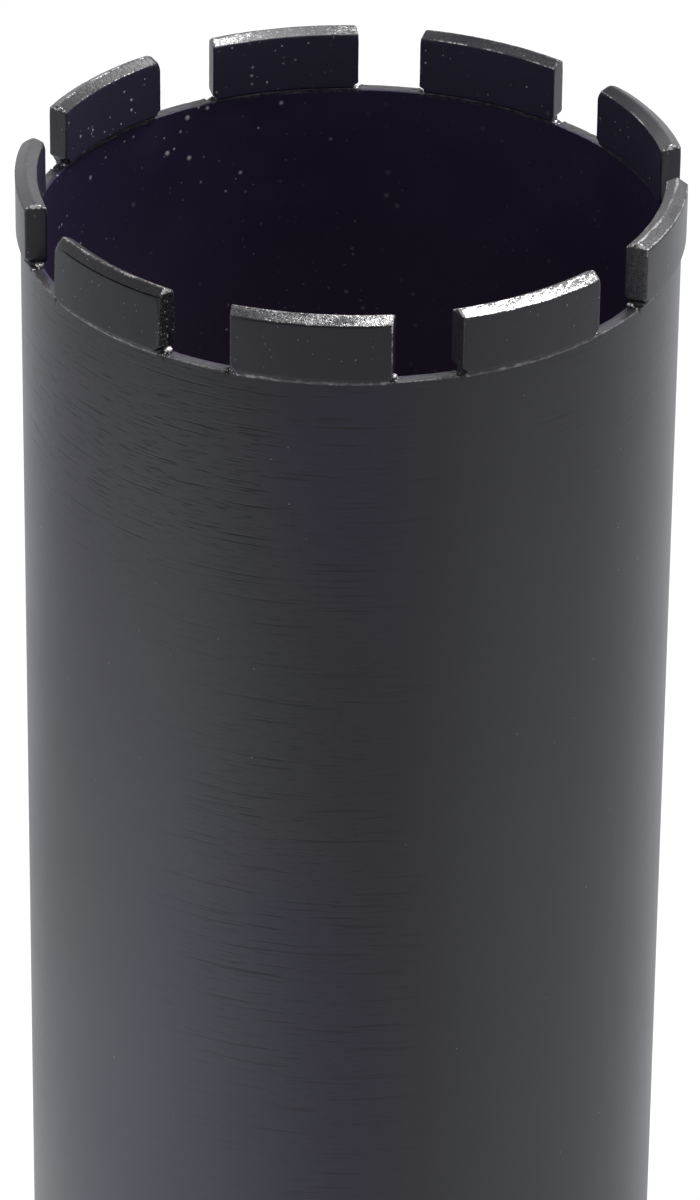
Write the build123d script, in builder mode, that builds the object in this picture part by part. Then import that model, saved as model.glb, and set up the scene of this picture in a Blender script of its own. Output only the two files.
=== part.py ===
"""Diamond core bit: a steel barrel with nine laser-welded roof-top segments,
closed below by a back plate and a hub with a female 1-1/4"-7 UNC thread.

The bit stands on the flat face of its hub, crown up. Millimetres, +Z up,
origin in the middle of the hub's face. Segment 1 faces -Y, and the others
follow counterclockwise as seen from above.
"""
import os
from math import cos, radians, sin

from build123d import *

# Barrel: a thin-walled steel tube
barrel_diameter = 100.5      # outside
barrel_wall = 2.0
working_depth = 320.0        # from the back plate's inner face to the segments' ridges
rim_break = 0.2              # broken edges of the rim

# Segments: short bars of sintered metal and diamond, welded on the rim
segment_count = 9
segment_length = 23.5        # straight, from end face to end face
outer_overhang = 0.75        # how far a segment stands out from the barrel
inner_overhang = 0.65        # how far it stands in
segment_height = 9.45        # from its foot to the shoulders of its roof
roof_rise = 1.0              # from the shoulders to the ridge
end_rounding = 0.4           # upright edges of the end faces
foot_bevel = 0.4             # along the outer and inner edges of the foot
foot_notch = 0.8             # radius of the relief where the weld runs out
open_notch = 1.3             # the same on the one corner that was left open
open_notch_segment = 7

# Laser weld between the rim and each segment
weld_layer = 0.35            # thickness between the rim and the segment's foot
weld_toe = 0.2               # how far the weld runs down the barrel's faces

# Back plate: closes the barrel's lower end
flange_thickness = 6.0
spigot_height = 4.0          # the step that centres the plate in the barrel
spigot_clearance = 0.1       # on the radius, between the step and the barrel
plate_edge_break = 0.5
weld_land = 0.4              # flat left on the barrel's end inside its weld bevel
ring_weld_crown = 0.4        # how far the ring weld stands out from the barrel

# Hub: turned steel, with a right-hand female thread right through
hub_diameter = 50.0
hub_height = 30.0            # from its face to the back plate
hub_edge_break = 1.0
neck_diameter = 38.0         # the neck that sits in the back plate
neck_clearance = 0.1         # on the radius, between the neck and the plate
thread_diameter = 31.75      # major diameter of 1-1/4"-7 UNC
mouth_chamfer = 1.5
inner_chamfer = 1.0
flat_width = 41.0            # across the two wrench flats
flat_start = 7.0             # from the hub's face to the flats
flat_height = 15.0
hub_weld_leg = 4.0           # fillet weld between the hub and the plate
hub_weld_bulge = 0.3

# Worked out from the sizes above
barrel_radius = barrel_diameter / 2
bore_radius = barrel_radius - barrel_wall
weld_bevel = barrel_wall - weld_land
hub_radius = hub_diameter / 2
neck_radius = neck_diameter / 2
thread_radius = thread_diameter / 2
seat_z = hub_height + flange_thickness
plate_top_z = seat_z + spigot_height
ridge_z = plate_top_z + working_depth
shoulder_z = ridge_z - roof_rise
foot_z = shoulder_z - segment_height
rim_z = foot_z - weld_layer
outer_radius = barrel_radius + outer_overhang
inner_radius = bore_radius - inner_overhang
ridge_radius = (outer_radius + inner_radius) / 2

os.makedirs("parts", exist_ok=True)


def save(piece, name):
    """Label a finished piece and write it to the file of that name."""
    piece.label = name
    export_step(piece, f"parts/{name}.step")


def segment_angle(number):
    """Direction of a segment, in degrees counterclockwise from +X."""
    return -90 + (number - 1) * 360 / segment_count


def section_plane(angle):
    """Upright plane through the bit's axis: x points outward, y points up."""
    outward = (cos(radians(angle)), sin(radians(angle)), 0)
    return Plane((0, 0, 0), x_dir=outward, z_dir=(outward[1], -outward[0], 0))


def plan_plane(angle, height):
    """Level plane at this height: x points outward at the angle."""
    return Plane((0, 0, height), x_dir=(cos(radians(angle)), sin(radians(angle)), 0))


def end_plane(angle):
    """Upright plane square to the outward direction: x points counterclockwise."""
    outward = (cos(radians(angle)), sin(radians(angle)), 0)
    return Plane((0, 0, 0), x_dir=(-outward[1], outward[0], 0), z_dir=outward)


def notch_radii(number):
    """Radii of the foot's clockwise and counterclockwise notches."""
    if number == open_notch_segment:
        return foot_notch, open_notch
    return foot_notch, foot_notch


def make_barrel_tube():
    """Tube with a square rim above and a weld bevel round its lower end."""
    with BuildPart() as barrel_tube:
        with BuildSketch(Plane.XZ):
            with BuildLine():
                Polyline(
                    (bore_radius, seat_z),
                    (barrel_radius - weld_bevel, seat_z),
                    (barrel_radius, seat_z + weld_bevel),
                    (barrel_radius, rim_z - rim_break),
                    (barrel_radius - rim_break, rim_z),
                    (bore_radius + rim_break, rim_z),
                    (bore_radius, rim_z - rim_break),
                    close=True,
                )
            make_face()
        revolve(axis=Axis.Z)
    save(barrel_tube.part, "barrel_tube")


def make_segment(number):
    """Bar with curved flanks, parallel end faces and a roof-shaped top."""
    angle = segment_angle(number)
    half_length = segment_length / 2
    clockwise_notch, counterclockwise_notch = notch_radii(number)
    with BuildPart() as segment:
        # A whole ring of the segment's section, its seam on the far side
        with BuildSketch(section_plane(angle + 180)):
            with BuildLine():
                Polyline(
                    (inner_radius + foot_bevel, foot_z),
                    (outer_radius - foot_bevel, foot_z),
                    (outer_radius, foot_z + foot_bevel),
                    (outer_radius, shoulder_z),
                    (ridge_radius, ridge_z),
                    (inner_radius, shoulder_z),
                    (inner_radius, foot_z + foot_bevel),
                    close=True,
                )
            make_face()
        revolve(axis=Axis.Z)
        # Keep what lies between the two end faces
        with BuildSketch(plan_plane(angle, foot_z)):
            with Locations((outer_radius, 0)):
                Rectangle(2 * barrel_radius, segment_length)
        extrude(amount=ridge_z - foot_z, mode=Mode.INTERSECT)
        fillet(segment.edges().filter_by(Axis.Z), radius=end_rounding)
        # Round reliefs at the two ends of the foot
        with BuildSketch(end_plane(angle)):
            with Locations((-half_length, foot_z)):
                Circle(clockwise_notch)
            with Locations((half_length, foot_z)):
                Circle(counterclockwise_notch)
        extrude(amount=outer_radius, mode=Mode.SUBTRACT)
    save(segment.part, f"segment_{number}")


def make_weld_seam(number):
    """Laser weld under a segment: a thin layer on the rim whose toes run down
    the barrel's outer and inner faces, as long as the segment's foot."""
    angle = segment_angle(number)
    half_length = segment_length / 2
    clockwise_notch, counterclockwise_notch = notch_radii(number)
    seam_length = segment_length - clockwise_notch - counterclockwise_notch
    seam_middle = (clockwise_notch - counterclockwise_notch) / 2
    toe_z = rim_z - rim_break - weld_toe
    with BuildPart() as weld_seam:
        with BuildSketch(section_plane(angle + 180)):
            with BuildLine():
                Polyline(
                    (inner_radius + foot_bevel, foot_z),
                    (outer_radius - foot_bevel, foot_z),
                    (barrel_radius, toe_z),
                    (barrel_radius, rim_z - rim_break),
                    (barrel_radius - rim_break, rim_z),
                    (bore_radius + rim_break, rim_z),
                    (bore_radius, rim_z - rim_break),
                    (bore_radius, toe_z),
                    close=True,
                )
            make_face()
        revolve(axis=Axis.Z)
        with BuildSketch(plan_plane(angle, toe_z)):
            with Locations((outer_radius, seam_middle)):
                Rectangle(2 * barrel_radius, seam_length)
        extrude(amount=foot_z - toe_z, mode=Mode.INTERSECT)
    save(weld_seam.part, f"weld_seam_{number}")


def make_back_plate():
    """Disc with a step that enters the barrel and a hole for the hub's neck."""
    hole_radius = neck_radius + neck_clearance
    spigot_radius = bore_radius - spigot_clearance
    with BuildPart() as back_plate:
        with BuildSketch(Plane.XZ):
            with BuildLine():
                Polyline(
                    (hole_radius, hub_height),
                    (barrel_radius - plate_edge_break, hub_height),
                    (barrel_radius, hub_height + plate_edge_break),
                    (barrel_radius, seat_z - weld_bevel),
                    (barrel_radius - weld_bevel, seat_z),
                    (spigot_radius, seat_z),
                    (spigot_radius, plate_top_z - plate_edge_break),
                    (spigot_radius - plate_edge_break, plate_top_z),
                    (hole_radius, plate_top_z),
                    close=True,
                )
            make_face()
        revolve(axis=Axis.Z)
    save(back_plate.part, "back_plate")


def make_ring_weld():
    """Bead that fills the V between the barrel's bevel and the back plate's."""
    with BuildPart() as ring_weld:
        with BuildSketch(Plane.XZ):
            with BuildLine():
                Polyline(
                    (barrel_radius, seat_z + weld_bevel),
                    (barrel_radius - weld_bevel, seat_z),
                    (barrel_radius, seat_z - weld_bevel),
                )
                ThreePointArc(
                    (barrel_radius, seat_z - weld_bevel),
                    (barrel_radius + ring_weld_crown, seat_z),
                    (barrel_radius, seat_z + weld_bevel),
                )
            make_face()
        revolve(axis=Axis.Z)
    save(ring_weld.part, "ring_weld")


def make_threaded_hub():
    """Round hub with a neck, two wrench flats and the spindle's hole, drawn
    at the thread's major diameter."""
    with BuildPart() as threaded_hub:
        with BuildSketch(Plane.XZ):
            with BuildLine():
                Polyline(
                    (thread_radius + mouth_chamfer, 0),
                    (hub_radius - hub_edge_break, 0),
                    (hub_radius, hub_edge_break),
                    (hub_radius, hub_height),
                    (neck_radius, hub_height),
                    (neck_radius, plate_top_z),
                    (thread_radius + inner_chamfer, plate_top_z),
                    (thread_radius, plate_top_z - inner_chamfer),
                    (thread_radius, mouth_chamfer),
                    close=True,
                )
            make_face()
        revolve(axis=Axis.Z)
        with BuildSketch(Plane.XY.offset(flat_start)):
            Circle(hub_diameter)
            Rectangle(flat_width, 2 * hub_diameter, mode=Mode.SUBTRACT)
        extrude(amount=flat_height, mode=Mode.SUBTRACT)
    save(threaded_hub.part, "threaded_hub")


def make_hub_weld():
    """Fillet weld in the corner between the hub's side and the back plate."""
    middle = hub_weld_leg / 2 + hub_weld_bulge
    with BuildPart() as hub_weld:
        with BuildSketch(Plane.XZ):
            with BuildLine():
                Polyline(
                    (hub_radius, hub_height - hub_weld_leg),
                    (hub_radius, hub_height),
                    (hub_radius + hub_weld_leg, hub_height),
                )
                ThreePointArc(
                    (hub_radius + hub_weld_leg, hub_height),
                    (hub_radius + middle, hub_height - middle),
                    (hub_radius, hub_height - hub_weld_leg),
                )
            make_face()
        revolve(axis=Axis.Z)
    save(hub_weld.part, "hub_weld")


make_barrel_tube()
for segment_number in range(1, segment_count + 1):
    make_segment(segment_number)
    make_weld_seam(segment_number)
make_back_plate()
make_ring_weld()
make_threaded_hub()
make_hub_weld()
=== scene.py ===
# %% [markdown]
# # A diamond core bit, dressed
#
# A diamond core bit is a thin steel tube with short cutting bars welded round
# its rim. Water and a drill's spindle come in through a threaded hub below.
# The whole tool is painted black, so nearly all that the eye gets from it is
# reflection: soft light along the barrel, glints on the rough roofs of the
# bars, and small bright beads where the laser weld ran out.
#
# The solid model is loaded first as a fixed frame. Every piece made here is
# measured from it, so nothing has to be fitted by eye afterwards.

# %% Load the frame
import math
from types import SimpleNamespace

import bmesh
import bpy
import numpy as np
from mathutils import Matrix, Vector


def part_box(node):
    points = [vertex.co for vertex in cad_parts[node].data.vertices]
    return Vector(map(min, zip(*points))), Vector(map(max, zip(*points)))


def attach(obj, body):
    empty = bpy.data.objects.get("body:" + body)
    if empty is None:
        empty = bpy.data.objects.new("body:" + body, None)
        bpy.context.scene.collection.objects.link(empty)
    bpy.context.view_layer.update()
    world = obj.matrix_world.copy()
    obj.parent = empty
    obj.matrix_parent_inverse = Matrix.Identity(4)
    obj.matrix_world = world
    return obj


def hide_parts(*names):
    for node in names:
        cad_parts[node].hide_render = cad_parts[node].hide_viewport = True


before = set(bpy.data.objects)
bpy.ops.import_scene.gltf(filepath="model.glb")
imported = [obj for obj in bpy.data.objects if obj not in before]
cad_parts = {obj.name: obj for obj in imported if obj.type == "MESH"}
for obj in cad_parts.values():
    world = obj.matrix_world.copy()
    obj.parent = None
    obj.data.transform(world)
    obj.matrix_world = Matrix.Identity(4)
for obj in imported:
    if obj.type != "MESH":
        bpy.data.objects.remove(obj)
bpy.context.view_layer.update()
print("solids:", len(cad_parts), "pieces")

# %% [markdown]
# ## Measures
#
# Boxes of the loaded solids give the places of the rim, the feet and the
# ridges. The few sizes that a box can't show, such as a wall's thickness, are
# written down here by name. Blender works in metres, so a millimetre gets a
# name of its own, and sizes below read as they would on a drawing.

# %% Measure the frame
mm = 0.001
barrel_low, barrel_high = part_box("barrel_tube")
segment_low, segment_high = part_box("segment_1")
barrel_radius = barrel_high.x
rim_height = barrel_high.z
seat_height = barrel_low.z
foot_height = segment_low.z
ridge_height = segment_high.z
segment_length = segment_high.x - segment_low.x
crown_radius = -segment_low.y
barrel_wall = 2.0 * mm
bore_radius = barrel_radius - barrel_wall
inner_overhang = 0.65 * mm
roof_rise = 1.0 * mm
shoulder_height = ridge_height - roof_rise
segment_inner = bore_radius - inner_overhang
segment_count = sum(name.startswith("segment_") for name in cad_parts)
print("barrel radius, mm:", round(barrel_radius / mm, 2))
print("rim height, mm:", round(rim_height / mm, 2))
print("segment length, mm:", round(segment_length / mm, 2))

# %% Directions round the crown
def segment_angle(number):
    """Direction of a segment, in radians counterclockwise from +X. Segment 1
    is at the front, towards -Y."""
    return math.radians(-90 + (number - 1) * 360 / segment_count)


def outward(angle):
    """Level unit vector that points away from the axis."""
    return Vector((math.cos(angle), math.sin(angle), 0))


print("segment 2 faces", tuple(round(v, 3) for v in outward(segment_angle(2))))

# %% [markdown]
# ## Camera
#
# The bit is seen from a metre away with a long lens, so its sides look almost
# parallel, and from about 27 degrees above the rim, so the far segments show
# over the near ones. The camera goes first, because every judgement about
# size and light is made through it. It is placed by a distance and a height
# from the rim's middle, turned a little round the bit, and aimed with three
# small angles, the way a tripod head is set.

# %% Place the camera
camera_azimuth = math.radians(6.9)
camera_distance = 985.97 * mm
camera_rise = 499.23 * mm
camera_pitch = math.radians(29.789)
camera_yaw = math.radians(0.026)
camera_roll = math.radians(0.629)
sensor_size = 36.0
lens_length = 217.8

heading = camera_azimuth - camera_yaw
forward = Vector((
    -math.sin(heading) * math.cos(camera_pitch),
    math.cos(heading) * math.cos(camera_pitch),
    -math.sin(camera_pitch),
))
level_right = Vector((math.cos(heading), math.sin(heading), 0))
level_up = level_right.cross(forward)
camera_right = math.cos(camera_roll) * level_right + math.sin(camera_roll) * level_up
camera_up = camera_right.cross(forward)
camera_spot = outward(camera_azimuth - math.pi / 2) * camera_distance
camera_spot.z = rim_height + camera_rise

camera_data = bpy.data.cameras.new("studio_camera")
camera_data.sensor_width = sensor_size
camera_data.lens = lens_length
camera = bpy.data.objects.new("studio_camera", camera_data)
bpy.context.scene.collection.objects.link(camera)
turn = Matrix((camera_right, camera_up, -forward)).transposed()
camera.matrix_world = Matrix.Translation(camera_spot) @ turn.to_4x4()
bpy.context.scene.camera = camera
bpy.context.scene.view_settings.view_transform = "Standard"
print("camera stands", round((camera_spot - Vector((0, 0, rim_height))).length, 3), "m away")

# %% [markdown]
# ## Stage and light
#
# Black gloss shows the room, not itself. A pale floor all round gives the
# barrel its bright edges, because paint reflects far more at a grazing angle
# than head on. The floor's glow in reflections is painted light, and uneven:
# it is darkest in front, which keeps the middle of the barrel deep and black,
# and has a painted pool of light on either side, the brighter one on the left.
# One strong soft lamp high behind on the right puts the glints on the roofs.

# %% Helpers for nodes
def new_material(name):
    """Empty node material with a Principled shader wired to its output."""
    material = bpy.data.materials.new(name)
    material.use_nodes = True
    nodes = material.node_tree.nodes
    nodes.clear()
    output = nodes.new("ShaderNodeOutputMaterial")
    shader = nodes.new("ShaderNodeBsdfPrincipled")
    material.node_tree.links.new(shader.outputs[0], output.inputs["Surface"])
    return material, shader


def add_node(material, kind, **settings):
    """New node whose settings are attributes, or values of named inputs."""
    node = material.node_tree.nodes.new(kind)
    for name, value in settings.items():
        if hasattr(node, name):
            setattr(node, name, value)
        else:
            node.inputs[name.replace("_", " ")].default_value = value
    return node


def wire(material, source, target):
    """Link an output socket to an input socket."""
    material.node_tree.links.new(source, target)


print("helpers for nodes are ready")

# %% Helpers for values and colours
def calculate(material, operation, first, second):
    """Math node on two values, each a number or an output socket."""
    node = add_node(material, "ShaderNodeMath", operation=operation)
    for place, value in enumerate((first, second)):
        if isinstance(value, (int, float)):
            node.inputs[place].default_value = value
        else:
            wire(material, value, node.inputs[place])
    return node.outputs[0]


def ease(material, value, start, end, low=0.0, high=1.0):
    """Map Range node: value from start to end becomes low to high, smoothly."""
    node = add_node(material, "ShaderNodeMapRange", interpolation_type="SMOOTHSTEP")
    for name, number in (("From Min", start), ("From Max", end), ("To Min", low), ("To Max", high)):
        node.inputs[name].default_value = number
    wire(material, value, node.inputs["Value"])
    return node.outputs["Result"]


def blend_colours(material, share, first, second):
    """Colour between two colours, each an RGB tuple or an output socket."""
    node = add_node(material, "ShaderNodeMix", data_type="RGBA")
    wire(material, share, node.inputs["Factor"])
    for name, colour in (("A", first), ("B", second)):
        socket = [s for s in node.inputs if s.name == name and s.type == "RGBA"][0]
        if isinstance(colour, tuple):
            socket.default_value = (*colour, 1)
        else:
            wire(material, colour, socket)
    return [s for s in node.outputs if s.type == "RGBA"][0]


print("helpers for values and colours are ready")

# %% Glow of the floor, as the paint mirrors it
# Painted light: the floor's glow as the paint mirrors it, darker in front, with painted pools of
# light.
front_glow = 0.26
back_glow = 0.46
glow_rise = (-0.9, 0.5)
towards_back = (-0.30, 0.95, 0.0)
left_pool = dict(centre=(-0.30, -0.20, 0.0), reach=0.50, glow=1.17)
right_pool = dict(centre=(0.41, -0.19, 0.0), reach=0.45, glow=0.44)


def mirrored_glow(material):
    """Painted light: a glow brighter towards the back, with a painted pool of light on either side."""
    spot = add_node(material, "ShaderNodeNewGeometry").outputs["Position"]
    backward = add_node(material, "ShaderNodeVectorMath", operation="DOT_PRODUCT")
    wire(material, spot, backward.inputs[0])
    backward.inputs[1].default_value = towards_back
    glow = ease(material, backward.outputs["Value"], *glow_rise, front_glow, back_glow)
    for pool in (left_pool, right_pool):
        away = add_node(material, "ShaderNodeVectorMath", operation="DISTANCE")
        wire(material, spot, away.inputs[0])
        away.inputs[1].default_value = pool["centre"]
        pool_glow = ease(material, away.outputs["Value"], 0.0, pool["reach"], pool["glow"], 0.0)
        glow = calculate(material, "ADD", glow, pool_glow)
    return glow


print("floor glows from", front_glow, "in front to", back_glow, "behind")

# %% Floor
floor_size = 8.0
floor_albedo = 0.42
floor_roughness = 0.9
camera_glow = 0.72
camera_colour = (1.0, 1.0, 1.0)
mirror_colour = (0.905, 0.950, 1.03)

bpy.ops.mesh.primitive_plane_add(size=floor_size)
floor = bpy.context.object
floor.name = "studio_floor"
floor_paint, floor_shader = new_material("studio_floor")
floor_shader.inputs["Base Color"].default_value = (floor_albedo, floor_albedo, floor_albedo, 1)
floor_shader.inputs["Roughness"].default_value = floor_roughness
floor_shader.inputs["Specular IOR Level"].default_value = 0.0
ray = add_node(floor_paint, "ShaderNodeLightPath")
mirrors = calculate(
    floor_paint, "MAXIMUM", ray.outputs["Is Glossy Ray"], ray.outputs["Is Transmission Ray"]
)
mirror_share = calculate(floor_paint, "MULTIPLY", mirrors, mirrored_glow(floor_paint))
camera_share = calculate(floor_paint, "MULTIPLY", ray.outputs["Is Camera Ray"], camera_glow)
floor_glow = calculate(floor_paint, "ADD", mirror_share, camera_share)
glow_colour = blend_colours(floor_paint, mirrors, camera_colour, mirror_colour)
wire(floor_paint, glow_colour, floor_shader.inputs["Emission Color"])
wire(floor_paint, floor_glow, floor_shader.inputs["Emission Strength"])
floor.data.materials.append(floor_paint)
print("floor:", floor_size, "m square")

# %% [markdown]
# ## The room
#
# The room is one white world seen three ways. The camera sees it plain white.
# The paint mirrors it brightest along the horizon and dimmer overhead, as in a
# real studio. Everything else gets only a weak even fill from it. The Light
# Path node says which kind of ray is asking, and two Mix Shaders choose.

# %% World: a white room, brightest along the horizon
horizon_strength = 1.0
ceiling_strength = 0.45
fade_heights = (0.35, 0.85)
fill_strength = 0.32
seen_strength = 1.0

world = bpy.data.worlds.new("studio_world")
bpy.context.scene.world = world
world.use_nodes = True
world.node_tree.nodes.clear()
room_way = add_node(world, "ShaderNodeTexCoord")
room_split = add_node(world, "ShaderNodeSeparateXYZ")
wire(world, room_way.outputs["Generated"], room_split.inputs[0])
room_fade = add_node(
    world, "ShaderNodeMapRange", From_Min=fade_heights[0], From_Max=fade_heights[1],
    To_Min=horizon_strength, To_Max=ceiling_strength,
)
wire(world, room_split.outputs["Z"], room_fade.inputs["Value"])
print("room: ceiling", ceiling_strength, "horizon", horizon_strength)

# %% Who sees which room
def white_background(strength):
    """White Background node of the world."""
    return add_node(world, "ShaderNodeBackground", Color=(1, 1, 1, 1), Strength=strength)


def choose_room(question, no_room, yes_room):
    """Mix Shader node that asks the Light Path node for the kind of ray."""
    mix = add_node(world, "ShaderNodeMixShader")
    wire(world, room_ray.outputs[question], mix.inputs["Fac"])
    wire(world, no_room.outputs[0], mix.inputs[1])
    wire(world, yes_room.outputs[0], mix.inputs[2])
    return mix


room_ray = add_node(world, "ShaderNodeLightPath")
mirrored_room = white_background(0.0)
wire(world, room_fade.outputs["Result"], mirrored_room.inputs["Strength"])
lit_or_mirrored = choose_room("Is Glossy Ray", white_background(fill_strength), mirrored_room)
room = choose_room("Is Camera Ray", lit_or_mirrored, white_background(seen_strength))
room_output = add_node(world, "ShaderNodeOutputWorld")
wire(world, room.outputs[0], room_output.inputs["Surface"])
print("world has", len(world.node_tree.nodes), "nodes")

# %% Lamp
lamp_direction = (0.38, 0.22, 0.90)
lamp_distance = 1.5
lamp_size = 0.74
lamp_power = 20.6


def soft_lamp(name, direction, distance, size, power):
    """Square area lamp that looks at the crown from a direction as the camera
    sees it: x to its right, y away from it, z up."""
    turned = Matrix.Rotation(camera_azimuth, 3, "Z") @ Vector(direction).normalized()
    lamp_data = bpy.data.lights.new(name, "AREA")
    lamp_data.shape = "SQUARE"
    lamp_data.size = size
    lamp_data.energy = power
    lamp = bpy.data.objects.new(name, lamp_data)
    bpy.context.scene.collection.objects.link(lamp)
    lamp.location = Vector((0, 0, rim_height)) + turned * distance
    lamp.rotation_euler = turned.to_track_quat("Z", "Y").to_euler()
    print(name, "radiance", round(power / (math.pi * size * size), 2))


soft_lamp("key_lamp", lamp_direction, lamp_distance, lamp_size, lamp_power)

# %% [markdown]
# ## Paint on the barrel
#
# The tube was linished before it was painted: an abrasive belt ran round it
# and left short fine marks, which the thin black paint follows. They all run
# round the tube, never along it. Noise gives such marks when its coordinates
# are squeezed: a slow change round the barrel, a quick one up it. Only the
# deepest marks should show, so the noise is cut off below a threshold.
# On top come a slight orange peel, a few specks of dust, and a shade that
# drifts between neutral and violet black. The marks, and a band below the
# seams on the left, are also painted near black: that is painted shade.

# %% Helpers for places
def stretched_place(material, stretch):
    """The object's own coordinates in metres, each axis times its own scale."""
    place = add_node(material, "ShaderNodeTexCoord")
    scaled = add_node(material, "ShaderNodeVectorMath", operation="MULTIPLY")
    wire(material, place.outputs["Object"], scaled.inputs[0])
    scaled.inputs[1].default_value = stretch
    return scaled.outputs[0]


def split_place(material):
    """Node whose outputs X, Y and Z are the object's own coordinates."""
    split = add_node(material, "ShaderNodeSeparateXYZ")
    wire(material, stretched_place(material, (1, 1, 1)), split.inputs[0])
    return split


def axis_distance(material, place):
    """Distance of a split place from the tool's axis."""
    squares = [calculate(material, "MULTIPLY", place.outputs[way], place.outputs[way]) for way in "XY"]
    return calculate(material, "SQRT", calculate(material, "ADD", *squares), 0.0)


print("helpers for places are ready")

# %% Helpers for patterns
speck_spread = 0.35
speck_core = 0.15


def noise(material, stretch, detail=2.0, roughness=0.5, shift=0.0):
    """Noise from 0 to 1; stretch gives its grains per metre along x, y and z."""
    texture = add_node(
        material, "ShaderNodeTexNoise", Scale=1.0, Detail=detail, Roughness=roughness,
    )
    place = add_node(material, "ShaderNodeVectorMath", operation="ADD")
    wire(material, stretched_place(material, stretch), place.inputs[0])
    place.inputs[1].default_value = (shift, shift * 0.7, shift * 1.3)
    wire(material, place.outputs[0], texture.inputs["Vector"])
    return texture.outputs[0]


def specks(material, spacing, size, share):
    """Mask of round specks of mixed sizes; share is how many cells have one."""
    cells = add_node(material, "ShaderNodeTexVoronoi", Scale=1 / spacing)
    wire(material, stretched_place(material, (1, 1, 1)), cells.inputs["Vector"])
    split = add_node(material, "ShaderNodeSeparateColor")
    wire(material, cells.outputs["Color"], split.inputs[0])
    growth = calculate(material, "ADD", split.outputs[1], speck_spread)
    grown = calculate(material, "DIVIDE", cells.outputs["Distance"], growth)
    reach = size / spacing
    near = ease(material, grown, reach, reach * speck_core)
    chosen = calculate(material, "GREATER_THAN", split.outputs[0], 1 - share)
    return calculate(material, "MULTIPLY", near, chosen)


print("helpers for patterns are ready")

# %% Helpers for the shader
def tilted_normal(material, tilt):
    """Surface normal turned upward by the slope in a socket."""
    plain = add_node(material, "ShaderNodeNewGeometry")
    upward = add_node(material, "ShaderNodeCombineXYZ")
    wire(material, tilt, upward.inputs[2])
    tilted = add_node(material, "ShaderNodeVectorMath", operation="ADD")
    wire(material, plain.outputs["Normal"], tilted.inputs[0])
    wire(material, upward.outputs[0], tilted.inputs[1])
    unit = add_node(material, "ShaderNodeVectorMath", operation="NORMALIZE")
    wire(material, tilted.outputs[0], unit.inputs[0])
    return unit.outputs[0]


def emboss(material, shader, layers, normal=None):
    """Chain of Bump nodes: each layer is a height socket and its depth. The
    first one starts from the normal, where there is one."""
    for height, depth in layers:
        bump = add_node(material, "ShaderNodeBump", Strength=1.0, Distance=depth)
        wire(material, height, bump.inputs["Height"])
        if normal is not None:
            wire(material, normal, bump.inputs["Normal"])
        normal = bump.outputs["Normal"]
    wire(material, normal, shader.inputs["Normal"])


def feed(material, shader, **inputs):
    """Give each named input of the shader its number or its output socket."""
    for name, value in inputs.items():
        socket = shader.inputs[name.replace("_", " ")]
        if isinstance(value, (int, float)):
            socket.default_value = value
        else:
            wire(material, value, socket)


print("helpers for the shader are ready")

# %% Ground colour of the barrel
black_neutral = (0.0210, 0.0203, 0.0250)
black_violet = (0.0215, 0.0168, 0.0400)
violet_limits = (26 * mm, 6 * mm)

barrel_paint, barrel_shader = new_material("barrel_paint")
across = split_place(barrel_paint)
drift = noise(barrel_paint, (28, 28, 9), detail=1.0)
drift_share = ease(barrel_paint, drift, 0.34, 0.58)
left_share = ease(barrel_paint, across.outputs["X"], *violet_limits)
violet_share = calculate(barrel_paint, "MULTIPLY", drift_share, left_share)
ground = blend_colours(barrel_paint, violet_share, black_neutral, black_violet)
print("violet black ends at x, mm:", round(violet_limits[0] / mm))

# %% Where the belt bit
# It bit hardest below the rim on one side, and down the middle of the front.
upper_zone = (304 * mm, 330 * mm)
left_zone = (14 * mm, -16 * mm)
middle_shift = 3 * mm
middle_zone = (26 * mm, 6 * mm)
right_zone = (26 * mm, 38 * mm)
right_top_zone = (318 * mm, 336 * mm)

upper_side = ease(barrel_paint, across.outputs["Z"], *upper_zone, 0.10, 1.0)
left_side = ease(barrel_paint, across.outputs["X"], *left_zone)
upper_left = calculate(barrel_paint, "MULTIPLY", upper_side, left_side)
moved = calculate(barrel_paint, "ADD", across.outputs["X"], middle_shift)
off_middle = calculate(barrel_paint, "ABSOLUTE", moved, 0.0)
middle = ease(barrel_paint, off_middle, *middle_zone, 0.06, 0.50)
right_side = ease(barrel_paint, across.outputs["X"], *right_zone, 0.0, 0.32)
right_top = ease(barrel_paint, across.outputs["Z"], *right_top_zone)
upper_right = calculate(barrel_paint, "MULTIPLY", right_side, right_top)
bite = calculate(barrel_paint, "MAXIMUM", upper_left, middle)
bite = calculate(barrel_paint, "MAXIMUM", bite, upper_right)
patch_noise = noise(barrel_paint, (24, 24, 18), detail=1.0, shift=7.0)
patches = ease(barrel_paint, patch_noise, 0.30, 0.58, 0.25, 1.0)
field = calculate(barrel_paint, "MULTIPLY", patches, bite)
print("the belt bit from z, mm:", round(upper_zone[0] / mm), "up")

# %% Belt marks: long ones far apart, short ones close together
# Painted shade: the marks are also painted near black, as shade in their grooves.
painted_shade_black = (0.002, 0.002, 0.003)
painted_shade_gain = 1.6
below_seam_zone = (337 * mm, 347 * mm)

long_noise = noise(barrel_paint, (75, 75, 2300), detail=1.0)
long_marks = ease(barrel_paint, long_noise, 0.61, 0.71)
short_noise = noise(barrel_paint, (300, 300, 3300), detail=2.0, shift=40.0)
short_marks = ease(barrel_paint, short_noise, 0.55, 0.69, 0.0, 0.65)
long_depth = calculate(barrel_paint, "MULTIPLY", long_marks, field)
short_depth = calculate(barrel_paint, "MULTIPLY", short_marks, field)
in_mark = calculate(barrel_paint, "MAXIMUM", long_depth, short_depth)
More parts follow.
